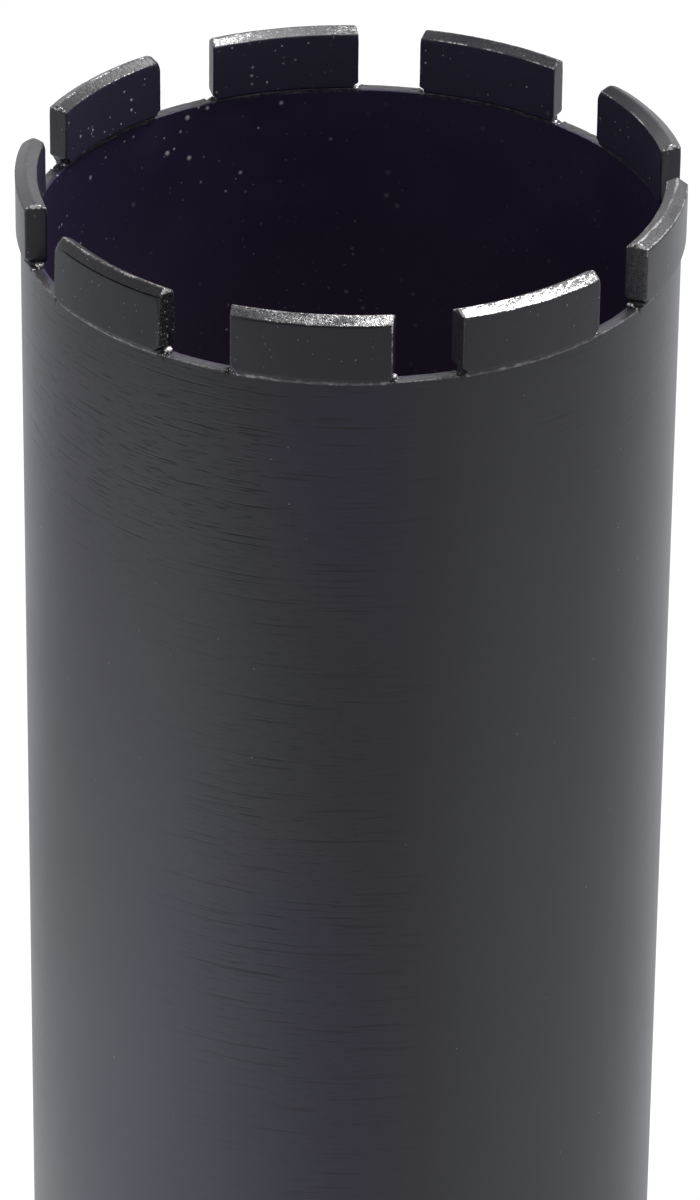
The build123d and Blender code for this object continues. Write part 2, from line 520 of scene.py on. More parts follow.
# Painted shade: below the seams on the left the barrel is painted towards near black.
below_seam = ease(barrel_paint, across.outputs["Z"], *below_seam_zone, 0.0, 0.60)
painted_shade_below_seam = calculate(barrel_paint, "MULTIPLY", below_seam, left_side)
mark_painted_shade = calculate(barrel_paint, "MULTIPLY", in_mark, painted_shade_gain)
painted_shade_amount = calculate(barrel_paint, "MAXIMUM", mark_painted_shade, painted_shade_below_seam)
painted_shade_share = calculate(barrel_paint, "MINIMUM", painted_shade_amount, 1.0)
colour_with_painted_shade = blend_colours(barrel_paint, painted_shade_share, ground, painted_shade_black)
print("barrel paint has", len(barrel_paint.node_tree.nodes), "nodes so far")

# %% Rim: its flat top is thinly painted, and its two edges are rubbed and painted lighter, a painted highlight too
rim_thin = (0.044, 0.041, 0.050)
# Rubbed edges, painted light grey: wear, and a painted highlight along the edge.
rim_rubbed_highlight = (0.19, 0.185, 0.205)
middle_of_wall = barrel_radius - barrel_wall / 2
edge_zone = (0.60 * mm, 0.86 * mm)
rim_zone = (rim_height - 0.20 * mm, rim_height - 0.08 * mm)

wall_place = calculate(barrel_paint, "SUBTRACT", axis_distance(barrel_paint, across), middle_of_wall)
off_wall = calculate(barrel_paint, "ABSOLUTE", wall_place, 0.0)
at_edge = ease(barrel_paint, off_wall, *edge_zone, 0.10, 1.0)
rim_grain = noise(barrel_paint, (2400, 2400, 2400), detail=2.0, shift=21.0)
rim_break = ease(barrel_paint, rim_grain, 0.36, 0.60, 0.1, 1.0)
rim_share = calculate(barrel_paint, "MULTIPLY", at_edge, rim_break)
rim_colour = blend_colours(barrel_paint, rim_share, rim_thin, rim_rubbed_highlight)
on_rim = ease(barrel_paint, across.outputs["Z"], *rim_zone)
colour_with_painted_shade = blend_colours(barrel_paint, on_rim, colour_with_painted_shade, rim_colour)
rim_bumps = calculate(barrel_paint, "MULTIPLY", on_rim, rim_grain)
print("rim's flat top starts", round((rim_height - rim_zone[0]) / mm, 2), "mm down")

# %% Dust, bumps and gloss of the barrel
dust_colour = (0.30, 0.29, 0.32)
mark_tilt = 0.10

barrel_dust = specks(barrel_paint, 2.6 * mm, 0.16 * mm, 0.20)
peel = noise(barrel_paint, (900, 900, 900), detail=1.0, shift=3.0)
mark_slope = calculate(barrel_paint, "MULTIPLY", in_mark, mark_tilt)
emboss(barrel_paint, barrel_shader, [
    (peel, 0.010 * mm),
    (short_depth, -0.007 * mm),
    (long_depth, -0.016 * mm),
    (barrel_dust, 0.03 * mm),
    (rim_bumps, 0.05 * mm),
], normal=tilted_normal(barrel_paint, mark_slope))
gloss_noise = noise(barrel_paint, (35, 35, 35), detail=2.0, shift=11.0)
feed(
    barrel_paint, barrel_shader,
    Base_Color=blend_colours(barrel_paint, barrel_dust, colour_with_painted_shade, dust_colour),
    Roughness=ease(barrel_paint, gloss_noise, 0.25, 0.75, 0.29, 0.33),
)
print("barrel paint has", len(barrel_paint.node_tree.nodes), "nodes")

# %% [markdown]
# ## Paint inside the bore
#
# Spray hardly reaches down the tube, so the inside is flatter and dustier:
# no belt marks, soft lumps of overspray, and pale grains that settled while
# the paint was wet. The same paint goes on the segments' inner faces.

# %% Ground colour of the bore
bore_black = (0.031, 0.022, 0.061)
bore_haze = (0.046, 0.036, 0.080)
bore_dusty = (0.085, 0.060, 0.110)
crown_haze = (0.040, 0.037, 0.068)
settled_zone = (345 * mm, 295 * mm)
crown_zone = (348 * mm, 351 * mm)

bore_paint, bore_shader = new_material("bore_paint")
bore_place = split_place(bore_paint)
haze = ease(bore_paint, noise(bore_paint, (60, 60, 60), detail=3.0), 0.45, 0.75)
bore_upper = blend_colours(bore_paint, haze, bore_black, bore_haze)
settled = ease(bore_paint, bore_place.outputs["Z"], *settled_zone)
bore_wall = blend_colours(bore_paint, settled, bore_upper, bore_dusty)
in_crown = ease(bore_paint, bore_place.outputs["Z"], *crown_zone)
bore_ground = blend_colours(bore_paint, in_crown, bore_wall, crown_haze)
print("dust has settled from z, mm:", round(settled_zone[1] / mm), "down")

# %% Grains in the bore
# More of them on the side that the spray came from, gathered in drifts.
grain_colour = (0.74, 0.72, 0.78)
draught_zone = (3 * mm, -16 * mm)

large_grains = specks(bore_paint, 2.7 * mm, 0.50 * mm, 0.50)
small_grains = specks(bore_paint, 1.3 * mm, 0.28 * mm, 0.34)
draught = ease(bore_paint, bore_place.outputs["X"], *draught_zone, 0.16, 1.0)
drift_noise = noise(bore_paint, (62, 62, 62), detail=1.0, shift=27.0)
gathered = ease(bore_paint, drift_noise, 0.40, 0.58, 0.12, 1.0)
crown_grains = specks(bore_paint, 1.25 * mm, 0.21 * mm, 0.42)
crown_grains = calculate(bore_paint, "MULTIPLY", crown_grains, in_crown)
grains = calculate(bore_paint, "MAXIMUM", large_grains, small_grains)
grains = calculate(bore_paint, "MULTIPLY", grains, draught)
grains = calculate(bore_paint, "MULTIPLY", grains, gathered)
grains = calculate(bore_paint, "MAXIMUM", grains, crown_grains)
overspray = noise(bore_paint, (1300, 1300, 1300), detail=2.0)
emboss(bore_paint, bore_shader, [(overspray, 0.012 * mm), (grains, 0.06 * mm)])
feed(
    bore_paint, bore_shader,
    Base_Color=blend_colours(bore_paint, grains, bore_ground, grain_colour),
    Roughness=0.42,
)
print("bore paint has", len(bore_paint.node_tree.nodes), "nodes")

# %% [markdown]
# ## Random relief for the meshes
#
# Bump can shade a surface but not change its outline, so everything that is
# large enough to see is put in the mesh itself. The heights come from value
# noise: each knot of a lattice gets a fixed random number, worked out from
# its place, and the space between knots is filled smoothly. The same place
# always gets the same height, so the model comes out the same every time.

# %% Value noise on arrays of points
# Large odd numbers stir the bits of a knot's place until no pattern is left.
place_stirrers = (73856093, 19349663, 83492791)
seed_stirrer = 97531
bit_stirrers = ((15, 739287), (13, 583861))
all_bits = 0xFFFFFFFF


def knot_heights(knots, seed):
    """Fixed random number from -1 to 1 for each knot of a lattice."""
    stirred = [knots[:, axis] * stirrer for axis, stirrer in enumerate(place_stirrers)]
    mixed = stirred[0] ^ stirred[1] ^ stirred[2]
    mixed = (mixed + seed * seed_stirrer) & all_bits
    for shift, stirrer in bit_stirrers:
        mixed = ((mixed ^ (mixed >> shift)) * stirrer) & all_bits
    return (mixed ^ (mixed >> 16)) / (all_bits >> 1) - 1


def relief(points, grain, seed):
    """Smooth random heights from -1 to 1 with about one bump per grain."""
    cells = np.asarray(points).reshape(-1, 3) / grain
    low = np.floor(cells)
    part = cells - low
    part = part * part * (3 - 2 * part)
    low = low.astype(np.int64)
    total = np.zeros(len(cells))
    for corner in range(8):
        step = np.array((corner & 1, corner >> 1 & 1, corner >> 2 & 1))
        share = np.where(step == 1, part, 1 - part)
        total += share.prod(axis=1) * knot_heights(low + step, seed)
    return total


probe = np.random.default_rng(1).uniform(-50 * mm, 50 * mm, (2000, 3))
print("relief spans", np.round(np.percentile(relief(probe, 1 * mm, 1), (2, 98)), 2))

# %% Skin over a grid of points
def object_from(shell, name, mesh):
    """Object in the scene, whose mesh is filled from a bmesh."""
    shell.to_mesh(mesh)
    shell.free()
    piece = bpy.data.objects.new(name, mesh)
    bpy.context.scene.collection.objects.link(piece)
    return piece


def skin(name, grid, close_rows=False, caps=False):
    """Mesh object over rows of points. Every row is a closed loop, and each
    is joined to the next by quads; caps close the first and the last one."""
    rows, columns = grid.shape[:2]
    index = np.arange(rows * columns).reshape(rows, columns)
    if close_rows:
        index = np.vstack([index, index[:1]])
    index = np.hstack([index, index[:, :1]])
    quads = np.stack(
        [index[:-1, :-1], index[:-1, 1:], index[1:, 1:], index[1:, :-1]], axis=-1
    )
    faces = quads.reshape(-1, 4).tolist()
    if caps:
        faces.append(index[0, -2::-1].tolist())
        faces.append(index[-1, :-1].tolist())
    mesh = bpy.data.meshes.new(name)
    mesh.from_pydata(grid.reshape(-1, 3).tolist(), [], faces)
    shell = bmesh.new()
    shell.from_mesh(mesh)
    bmesh.ops.recalc_face_normals(shell, faces=shell.faces)
    return object_from(shell, name, mesh)


print("helpers for skins are ready")

# %% Work on a finished mesh
sharp_angle = math.radians(55)


def vertex_places(piece, field_name="co"):
    """Places of a piece's vertices, or their normals, as rows of x, y, z."""
    values = np.zeros(len(piece.data.vertices) * 3)
    piece.data.vertices.foreach_get(field_name, values)
    return values.reshape(-1, 3)


def press(piece, depth):
    """Push every vertex of a piece inward along its normal by its depth."""
    normals = vertex_places(piece, "normal")
    moved = vertex_places(piece) - normals * np.asarray(depth)[:, None]
    piece.data.vertices.foreach_set("co", moved.ravel())
    piece.data.update()


def finish_piece(piece, material, stands_for=()):
    """Smooth shading, material and body of a finished piece."""
    piece.data.shade_smooth()
    piece.data.set_sharp_from_angle(angle=sharp_angle)
    piece.data.materials.append(material)
    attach(piece, "root")
    if stands_for:
        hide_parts(*stands_for)


print("edges sharper than", round(math.degrees(sharp_angle)), "degrees stay sharp")

# %% Curves
def smooth_step(value, start, end):
    """0 before start, 1 after end, smooth between."""
    share = np.clip((value - start) / (end - start), 0, 1)
    return share * share * (3 - 2 * share)


def bump_shape(offset, width):
    """Bell curve: 1 where offset is 0, nearly 0 two widths away."""
    return np.exp(-((offset / width) ** 2))


print("a bell curve one width away:", round(float(bump_shape(1.0, 1.0)), 3))

# %% [markdown]
# ## The barrel
#
# The barrel is one profile turned about the axis. The solid's own mesh shows
# its facets along the sharp bright rim, so the tube is skinned again with
# fine columns. They stand closest at the segments' ends, where the laser
# started and stopped and left small craters in the rim.

# %% Columns round the barrel
crater_reach = 1.8 * mm
crater_columns = 37
even_count = 720
closest_columns = 0.03 * mm

half_turn = math.asin(segment_length / 2 / barrel_radius)
end_angles = []
for number in range(1, segment_count + 1):
    end_angles.append(segment_angle(number) - half_turn)
    end_angles.append(segment_angle(number) + half_turn)

reach_angle = crater_reach / barrel_radius
even_columns = np.linspace(0, 2 * math.pi, even_count, endpoint=False)
close_columns = [
    np.linspace(angle - reach_angle, angle + reach_angle, crater_columns)
    for angle in end_angles
]
columns = np.sort(np.mod(np.concatenate([even_columns, *close_columns]), 2 * math.pi))
gaps = np.diff(columns, append=columns[0] + 2 * math.pi)
columns = columns[gaps > closest_columns / barrel_radius]
print("columns:", len(columns))

# %% Profile of the tube
rim_rounding = 0.12 * mm
weld_bevel = 1.6 * mm
wall_heights = np.array([60, 120, 200, 280, 325, 342, 346, 347.4, 348.1]) * mm
close_rows_from = 348.4 * mm
close_rows_to = rim_height - rim_rounding
edge_turns = np.radians([18, 36, 54, 72, 90])


def rim_edge(radius, inward, turns):
    """Round edge of the rim; inward is the way from its wall into the steel."""
    return [
        (radius + inward * rim_rounding * (1 - math.cos(turn)),
         rim_height - rim_rounding * (1 - math.sin(turn)))
        for turn in turns
    ]


outer_wall = [(barrel_radius, height) for height in wall_heights]
outer_wall += [(barrel_radius, height) for height in np.linspace(close_rows_from, close_rows_to, 6)]
flat_top = np.linspace(barrel_radius - 0.4 * mm, bore_radius + 0.4 * mm, 9)
inner_wall = [(bore_radius, height) for height in np.linspace(close_rows_to, close_rows_from, 6)]
inner_wall += [(bore_radius, height) for height in wall_heights[-2::-1]]
profile = np.array([
    (bore_radius, seat_height),
    (barrel_radius - weld_bevel, seat_height),
    (barrel_radius, seat_height + weld_bevel),
    *outer_wall,
    *rim_edge(barrel_radius, -1, edge_turns),
    *[(radius, rim_height) for radius in flat_top],
    *rim_edge(bore_radius, 1, edge_turns[::-1]),
    *inner_wall,
])
print("rows:", len(profile))

# %% Rough the rim
def turned(radii, heights, turns):
    """Grid of points: rows of radii and heights, turned about the axis."""
    return np.stack([radii * np.cos(turns), radii * np.sin(turns), heights], axis=-1)


radii = np.repeat(profile[:, :1], len(columns), axis=1)
heights = np.repeat(profile[:, 1:], len(columns), axis=1)
plain_tube = turned(radii, heights, columns)
near_rim = bump_shape(np.minimum(heights - rim_height, 0), 0.5 * mm)
lumps = relief(plain_tube, 1.1 * mm, 11).reshape(heights.shape)
nicks = np.maximum(relief(plain_tube, 0.6 * mm, 12).reshape(heights.shape) - 0.45, 0)
heights = heights - near_rim * (0.02 * mm * (1 + lumps) + 0.16 * mm * nicks)
print("deepest nick, mm:", round(float((rim_height - heights[near_rim > 0.999].min()) / mm), 3))

# %% Craters where the laser started and stopped
crater_place, crater_width = 0.45 * mm, 0.30 * mm
lip_place, lip_width, lip_height = 1.05 * mm, 0.22 * mm, 0.35
crater_chance = np.random.default_rng(23)
crater_depths = crater_chance.uniform(0.12, 0.42, len(end_angles)) * mm

for place, (angle, depth) in enumerate(zip(end_angles, crater_depths)):
    side = -1 if place % 2 == 0 else 1
    away = np.remainder(columns - angle + math.pi, 2 * math.pi) - math.pi
    along = away * barrel_radius * side
    dent = bump_shape(along - crater_place, crater_width)
    dent = dent - lip_height * bump_shape(along - lip_place, lip_width)
    outer_side = 0.35 + 0.65 * bump_shape(radii - barrel_radius, 1.0 * mm)
    heights = heights - depth * dent[None, :] * near_rim * outer_side
    narrowed = 0.35 * depth * np.maximum(dent, 0)[None, :] * near_rim
    radii = radii - narrowed * np.sign(radii - middle_of_wall)
print("craters, mm deep:", np.round(np.sort(crater_depths / mm)[[0, -1]], 2))

# %% Skin the barrel
barrel = skin("barrel", turned(radii, heights, columns), close_rows=True)
finish_piece(barrel, barrel_paint, ["barrel_tube"])
barrel.data.materials.append(bore_paint)
bore_limit = barrel_radius - 0.75 * barrel_wall
for face in barrel.data.polygons:
    if math.hypot(face.center.x, face.center.y) < bore_limit:
        face.material_index = 1
print("barrel:", len(barrel.data.polygons), "faces")

# %% [markdown]
# ## The segments
#
# A segment is a short bar of metal powder and diamond grit, pressed in a
# mould and baked hard. Its sides come out of the mould smooth, while the roof
# keeps a sandy grain and a ragged ridge. The paint is thin there, and metal
# shows where the ridge and the corners have rubbed in the box.
#
# The bar is a lofted section: a rounded outline in radius and height, set up
# again at many stations from one end face to the other. A point at radius r
# and t to the side of the middle lies sqrt(r² - t²) out from the axis, so the
# flanks follow the barrel while the end faces stay flat and parallel. The
# mould's two halves met at the outer shoulder and left a hair-thin step there.

# %% Rounded outline
arc_gap = 0.06 * mm


def corner_arc(before, corner, after):
    """Arc that rounds one corner of an outline. The corner and its neighbours
    are (radius, height, rounding) each."""
    here = np.array(corner[:2])
    back = np.array(before[:2]) - here
    back = back / np.linalg.norm(back)
    ahead = np.array(after[:2]) - here
    ahead = ahead / np.linalg.norm(ahead)
    half_angle = math.acos(np.clip(back @ ahead, -1, 1)) / 2
    setback = corner[2] / math.tan(half_angle)
    halfway = (back + ahead) / np.linalg.norm(back + ahead)
    centre = here + halfway * corner[2] / math.sin(half_angle)
    first = here + back * setback - centre
    last = here + ahead * setback - centre
    sweep = math.pi - 2 * half_angle
    steps = max(3, int(round(sweep * corner[2] / arc_gap)))
    turn_way = np.sign(first[0] * last[1] - first[1] * last[0])
    turns = turn_way * sweep * np.arange(steps + 1) / steps
    return np.column_stack([
        centre[0] + first[0] * np.cos(turns) - first[1] * np.sin(turns),
        centre[1] + first[0] * np.sin(turns) + first[1] * np.cos(turns),
    ])


def rounded_outline(corners, spacing):
    """Closed outline with every corner rounded. The straight run after each
    corner is divided by the spacing that goes with it."""
    count = len(corners)
    arcs = [
        corner_arc(corners[place - 1], corners[place], corners[(place + 1) % count])
        for place in range(count)
    ]
    outline = []
    for place, arc in enumerate(arcs):
        outline.extend(arc)
        run = arcs[(place + 1) % count][0] - arc[-1]
        parts = max(1, int(round(np.linalg.norm(run) / spacing[place])))
        outline.extend(arc[-1] + run * part / parts for part in range(1, parts))
    return np.array(outline)


print("outline helper is ready")

# %% Section of a segment
# Depth of the mould's groove and rounding of the ridge, in millimetres.
mould_grooves = {1: 0.20, 2: 0.08, 3: 0.12, 4: 0.06, 5: 0.06, 6: 0.06, 7: 0.08, 8: 0.14, 9: 0.34}
ridge_roundings = {1: 0.22, 2: 0.26, 3: 0.45, 4: 0.85, 5: 0.35, 6: 0.50, 7: 0.40, 8: 0.75, 9: 0.26}
# One bar's outer face leans in towards the top, by so many millimetres.
face_drafts = {9: 0.26}
foot_bevel = 0.4 * mm
ridge_radius = (crown_radius + segment_inner) / 2


def segment_section(number):
    """Closed outline of one segment, its groove and ridge as they came out."""
    groove = mould_grooves[number] * mm
    foot_flank = crown_radius - 0.03 * mm
    flank = foot_flank - face_drafts.get(number, 0.0) * mm
    top_flank = flank + 0.03 * mm
    corners = [
        (segment_inner + foot_bevel, foot_height, 0.10 * mm),
        (crown_radius - foot_bevel, foot_height, 0.10 * mm),
        (foot_flank, foot_height + foot_bevel, 0.12 * mm),
        (flank, shoulder_height - 0.44 * mm, 0.05 * mm),
        (flank - groove, shoulder_height - 0.24 * mm, 0.02 * mm),
        (top_flank, shoulder_height - 0.12 * mm, 0.03 * mm),
        (top_flank, shoulder_height, 0.08 * mm),
        (ridge_radius, ridge_height, ridge_roundings[number] * mm),
        (segment_inner, shoulder_height, 0.16 * mm),
        (segment_inner, foot_height + foot_bevel, 0.12 * mm),
    ]
    spacing = np.array([0.35, 0.12, 0.30, 0.04, 0.04, 0.06, 0.09, 0.09, 0.30, 0.12]) * mm
    return rounded_outline(corners, spacing)


print("points in the outline:", len(segment_section(1)))

# %% Ends of the segments
# Two bars were cut a little long at one end. The foot has a small round
# relief under each end, and one of them came out larger.
long_ends = {(1, 1): 0.6 * mm, (2, -1): 0.6 * mm}
foot_notch = 0.8 * mm
open_notch = 1.3 * mm
open_corner = (7, 1)


def end_place(number, side):
    """Distance from a segment's middle to its end face on one side: -1 is the
    clockwise end and 1 the counterclockwise one."""
    return segment_length / 2 + long_ends.get((number, side), 0.0)


def notch_size(number, side):
    """Radius of the relief under one end of a segment."""
    return open_notch if (number, side) == open_corner else foot_notch


def end_distance(number, along):
    """Distance from places along a segment to the nearer end face."""
    return np.where(along < 0, along + end_place(number, -1), end_place(number, 1) - along)


print("segment 1 from end to end, mm:", round((end_place(1, -1) + end_place(1, 1)) / mm, 2))

# %% Stations along a segment
end_rounding = 0.30 * mm
station_gap = 0.14 * mm
closest_stations = 0.012 * mm
plain_from = 1.5 * mm
close_zone = (0.35 * mm, 1.6 * mm)


def stations(number):
    """Places along a segment, dense where the notches and end edges curve."""
    notch_turns = np.radians(np.linspace(0, 84, 14))
    edge_curve = 1 - np.sin(np.radians(np.linspace(0, 90, 7)))
    middle_part = (plain_from - end_place(number, -1), end_place(number, 1) - plain_from)
    places = [np.arange(*middle_part, station_gap)]
    for side in (-1, 1):
        half = end_place(number, side)
        places.append(side * (half - notch_size(number, side) * np.cos(notch_turns)))
        places.append(side * (half - end_rounding * edge_curve))
        places.append(side * (half - np.arange(*close_zone, station_gap)))
    joined = np.sort(np.concatenate(places))
    keep = np.diff(joined, prepend=joined[0] - 1) > closest_stations
    return joined[keep]


print("stations along segment 3:", len(stations(3)))

# %% Rounded roofs
# For each segment, how far its roof is rounded over at the clockwise and the
# counterclockwise end, in millimetres. The walls below keep crisper edges.
# From 1 mm up the whole top of that end is worn to an arch.
roof_ends = {
    1: (0.35, 0.35), 2: (0.35, 0.60), 3: (0.40, 0.60), 4: (0.45, 1.25), 5: (0.50, 0.55),
    6: (0.55, 0.45), 7: (1.05, 0.45), 8: (1.25, 0.40), 9: (1.20, 0.75),
}


def edge_inset(to_end, rounding):
    """How far a rounded end edge has turned in, at a distance from the end."""
    if to_end >= rounding:
        return 0.0
    return rounding - math.sqrt(rounding ** 2 - (rounding - to_end) ** 2)


def softened(outline, spread):
    """The same outline with every corner worn round: a running average along
    it, weighted by a bell curve of the given spread."""
    gaps = np.linalg.norm(np.roll(outline, -1, axis=0) - outline, axis=1)
    places = np.cumsum(gaps) - gaps
    around = gaps.sum()
    shares = (gaps + np.roll(gaps, 1)) / 2
    apart = np.abs(places[:, None] - places[None, :])
    apart = np.minimum(apart, around - apart)
    weights = np.exp(-(apart / spread) ** 2 / 2) * shares[None, :]
    return weights @ outline / weights.sum(axis=1, keepdims=True)


print("inset at an end:", round(edge_inset(0.0, 0.4 * mm) / mm, 3), "mm")

# %% Sections from end to end
arch_spread = 0.36 * mm
arch_zone = (0.5 * mm, 3.4 * mm)
roof_zone = (shoulder_height - 1.6 * mm, shoulder_height + 0.3 * mm)
core_heights = (foot_height + 1.9 * mm, shoulder_height - 0.7 * mm)
core_width = 0.22
cap_steps = (0.25, 0.5, 0.75, 1.0)


def bar_sections(number):
    """Pairs of a place along a segment and the outline there. Ever smaller
    outlines, down to a core, close its two ends."""
    outline = segment_section(number)
    arch = softened(outline, arch_spread)
    core = np.column_stack([
        ridge_radius + core_width * (outline[:, 0] - ridge_radius),
        np.clip(outline[:, 1], *core_heights),
    ])
    roof_share = smooth_step(outline[:, 1], *roof_zone)
    rows = []
    for place in stations(number):
        to_end = float(end_distance(number, place))
        roof_rounding = roof_ends[number][0 if place < 0 else 1]
        wall_inset = edge_inset(to_end, end_rounding)
        roof_inset = edge_inset(to_end, roof_rounding * mm)
        inset = wall_inset + (roof_inset - wall_inset) * roof_share
        arch_share = (1 if roof_rounding > 1 else 0.3) * (1 - smooth_step(to_end, *arch_zone))
        section = outline + (arch - outline) * arch_share * roof_share[:, None]
        inward = core - section
        inward = inward / np.linalg.norm(inward, axis=1, keepdims=True)
        rows.append((place, section + inward * inset[:, None]))
    caps = [
        [(place, section + (core - section) * share) for share in cap_steps]
        for place, section in (rows[0], rows[-1])
    ]
    return caps[0][::-1] + rows + caps[1]


print("sections of segment 3:", len(bar_sections(3)))

# %% Loft one segment
notch_blend = 2.6 * mm


def beside_bar(number, along, radius, height):
    """Points beside a segment: places along the bar, at a radius and height."""
    angle = segment_angle(number)
    out = np.sqrt(radius ** 2 - along ** 2)
    return np.stack([
        out * math.cos(angle) - along * math.sin(angle),
        out * math.sin(angle) + along * math.cos(angle),
        height,
    ], axis=-1)


def over_notch(number, place, height):
    """Heights of one section, squeezed up where the foot's relief is."""
    notch = notch_size(number, -1 if place < 0 else 1)
    lift = math.sqrt(max(notch ** 2 - end_distance(number, place) ** 2, 0.0))
    top = foot_height + notch + notch_blend
    squeezed = top - (top - height) * (top - foot_height - lift) / (top - foot_height)
    return np.where(height < top, squeezed, height)


def loft_segment(number):
    """Segment mesh at its place, with the section's radius and height and the
    place along the bar of each of its vertices."""
    measured = np.array([
        np.column_stack([
            section[:, 0],
            over_notch(number, place, section[:, 1]),
            np.full(len(section), place),
        ])
        for place, section in bar_sections(number)
    ])
    radius, height, along = np.moveaxis(measured, -1, 0)
    grid = beside_bar(number, along, radius, height)
    piece = skin(f"cutting_segment_{number}", grid, caps=True)
    return piece, measured.reshape(-1, 3)


print("loft helper is ready")

# %% [markdown]
# ## Grain, chips and rub marks
#
# Relief presses the roof in by a few hundredths of a millimetre in a sandy
# grain, knocks chips out of the ridge and shoulders, and leaves the sides
# nearly flat. The same numbers say where paint is gone: each vertex gets a
# value called wear, which the paint's material reads later. No two bars had
# the same handling, so each has its own amounts.

# %% How much each segment has been rubbed
# Most amounts are wear, from 0 to 1 and more: along the ridge, on the roof's
# slope from its clockwise to its counterclockwise end, along the shoulders,
# on the corners at the two ends and on the upright edges. On the end faces the
# amount is scuff, and also painted light that greys them lighter.
# Streak is how much of the slope's wear lies in drawn lines, and smear how
# far the wear is wiped even instead of grainy. Grit glints are for grit on the
# end faces, painted as near-white glints, and shade is painted shade that
# darkens a bar's paint towards near black.
usual_rub = dict(streak=0.07, edges=0.60, end_scuff_and_painted_light=0.0, smear=0.0, grit_glints=0.0, shade=0.0)
own_rub = {
    1: dict(ridge=1.50, slope=(0.40, 0.55), shoulder=0.60, ends=(0.5, 1.0), streak=0.15, edges=1.35),
    2: dict(ridge=0.40, slope=(0.82, 0.67), shoulder=0.80, ends=(0.8, 0.8), streak=0.70, smear=0.60,
            grit_glints=0.2, end_scuff_and_painted_light=0.24),
    3: dict(ridge=1.30, slope=(0.40, 0.33), shoulder=1.45, ends=(1.0, 0.3), streak=0.20, smear=0.30,
            grit_glints=0.2, end_scuff_and_painted_light=0.30, edges=0.90),
    4: dict(ridge=0.30, slope=(0.28, 0.12), shoulder=1.05, ends=(0.9, 0.1), smear=0.80),
    5: dict(ridge=0.60, slope=(0.26, 0.22), shoulder=1.05, ends=(0.6, 0.2), smear=0.40),
    6: dict(ridge=0.60, slope=(0.53, 0.59), shoulder=0.50, ends=(0.4, 0.5), streak=0.30, smear=0.75),
    7: dict(ridge=1.05, slope=(0.24, 0.17), shoulder=0.72, ends=(0.5, 0.9), smear=0.10),
    8: dict(ridge=0.35, slope=(0.36, 0.30), shoulder=0.30, ends=(0.1, 1.0), smear=0.85),
    9: dict(ridge=1.45, slope=(0.10, 0.12), shoulder=0.15, ends=(0.2, 1.0), edges=1.25, grit_glints=0.9,
            end_scuff_and_painted_light=0.20, shade=0.7),
}
rub = {number: {**usual_rub, **own} for number, own in own_rub.items()}
print("rub marks for", len(rub), "segments")

# %% Zones of a segment
def segment_zones(number, measured):
    """How far each vertex belongs to the roof, the ridge, the shoulders and
    the end faces, from 0 to 1, and how far it is from the flanks and ends."""
    radius, height, along = measured.T
    flank = np.minimum(np.abs(radius - crown_radius), np.abs(radius - segment_inner))
    to_end = end_distance(number, along)
    roof = smooth_step(height, shoulder_height - 0.10 * mm, shoulder_height + 0.12 * mm)
    ridge = bump_shape(radius - ridge_radius, 0.30 * mm) * roof
    shoulder = bump_shape(height - shoulder_height, 0.22 * mm) * bump_shape(flank, 0.25 * mm)
    end = 1 - smooth_step(to_end, 0.02 * mm, 0.30 * mm)
    return SimpleNamespace(
        roof=roof, ridge=ridge, shoulder=shoulder, end=end, flank=flank, to_end=to_end,
    )


print("zone helper is ready")

# %% Grain and chips
def grain_depth(points, zones, crisp):
    """How deep each vertex is pressed in. Crisp is 1 where the grain has kept
    all its height, and less where it was wiped down."""
    sand = relief(points, 0.22 * mm, 31) * 0.6 + relief(points, 0.42 * mm, 32) * 0.4
    swell = relief(points, 2.6 * mm, 33)
    chip = np.maximum(relief(points, 0.75 * mm, 34) - 0.30, 0)
    depth = 0.012 * mm * (1 + swell)
    depth = depth + zones.roof * 0.024 * mm * (1 + sand * crisp)
    depth = depth + (zones.ridge * 0.20 * crisp + zones.shoulder * 0.13) * mm * chip
    return depth + zones.end * 0.016 * mm * (1 + sand)


print("grain helper is ready")

# %% Wear
def wear_amount(number, points, measured, zones, crisp):
    """Share of the paint that is gone at each vertex: the largest of what the
    ridge, the slope, the shoulders, the corners and the edges have lost, and of
    the scuff on the end faces, which is painted light as well."""
    radius, height, along = measured.T
    amounts = rub[number]
    half = segment_length / 2
    drawn = np.column_stack([along * 0.45, radius * 1.8, height * 1.8])
    patch = smooth_step(relief(drawn, 1.1 * mm, 35 + number), -0.35, 0.35)
    hair = smooth_step(relief(drawn, 0.26 * mm, 61 + number), -0.55, 0.45)
    fleck = smooth_step(relief(points, 0.28 * mm, 36), -0.15, 0.35)
    side = np.where(along < 0, *amounts["ends"])

    first, last = amounts["slope"]
    slope = first + (last - first) * smooth_step(along, -half, half)
    slope = slope * (1 + 0.42 * crisp * relief(drawn, 2.2 * mm, 81 + number))
    near_ridge = bump_shape(radius - ridge_radius, 0.5 * mm)
    streak = amounts["streak"] * (0.3 + 0.7 * near_ridge)
    roof_wear = zones.roof * slope * (1 - streak + streak * hair)

    ridge_line = (0.40 + 0.60 * patch) * (0.60 + 0.40 * fleck)
    shoulder_line = (0.15 + 0.85 * patch) * (0.45 + 0.55 * fleck)
    corner = 1 - smooth_step(zones.to_end, 0.15 * mm, 0.55 * mm)
    edge_band = bump_shape(zones.to_end - 0.12 * mm, 0.16 * mm) * bump_shape(zones.flank, 0.35 * mm)
    upper_wall = 0.42 + 0.58 * smooth_step(height, shoulder_height - 3.0 * mm, shoulder_height)
    return np.max([
        roof_wear,
        zones.ridge * amounts["ridge"] * ridge_line,
        zones.shoulder * amounts["shoulder"] * shoulder_line,
        corner * zones.roof * side * (0.45 + 0.55 * fleck),
        edge_band * amounts["edges"] * side * upper_wall * (0.35 + 0.65 * patch),
        # painted light: the end faces are greyed lighter, as scuff
        zones.end * amounts["end_scuff_and_painted_light"],
    ], axis=0)


print("wear helper is ready")

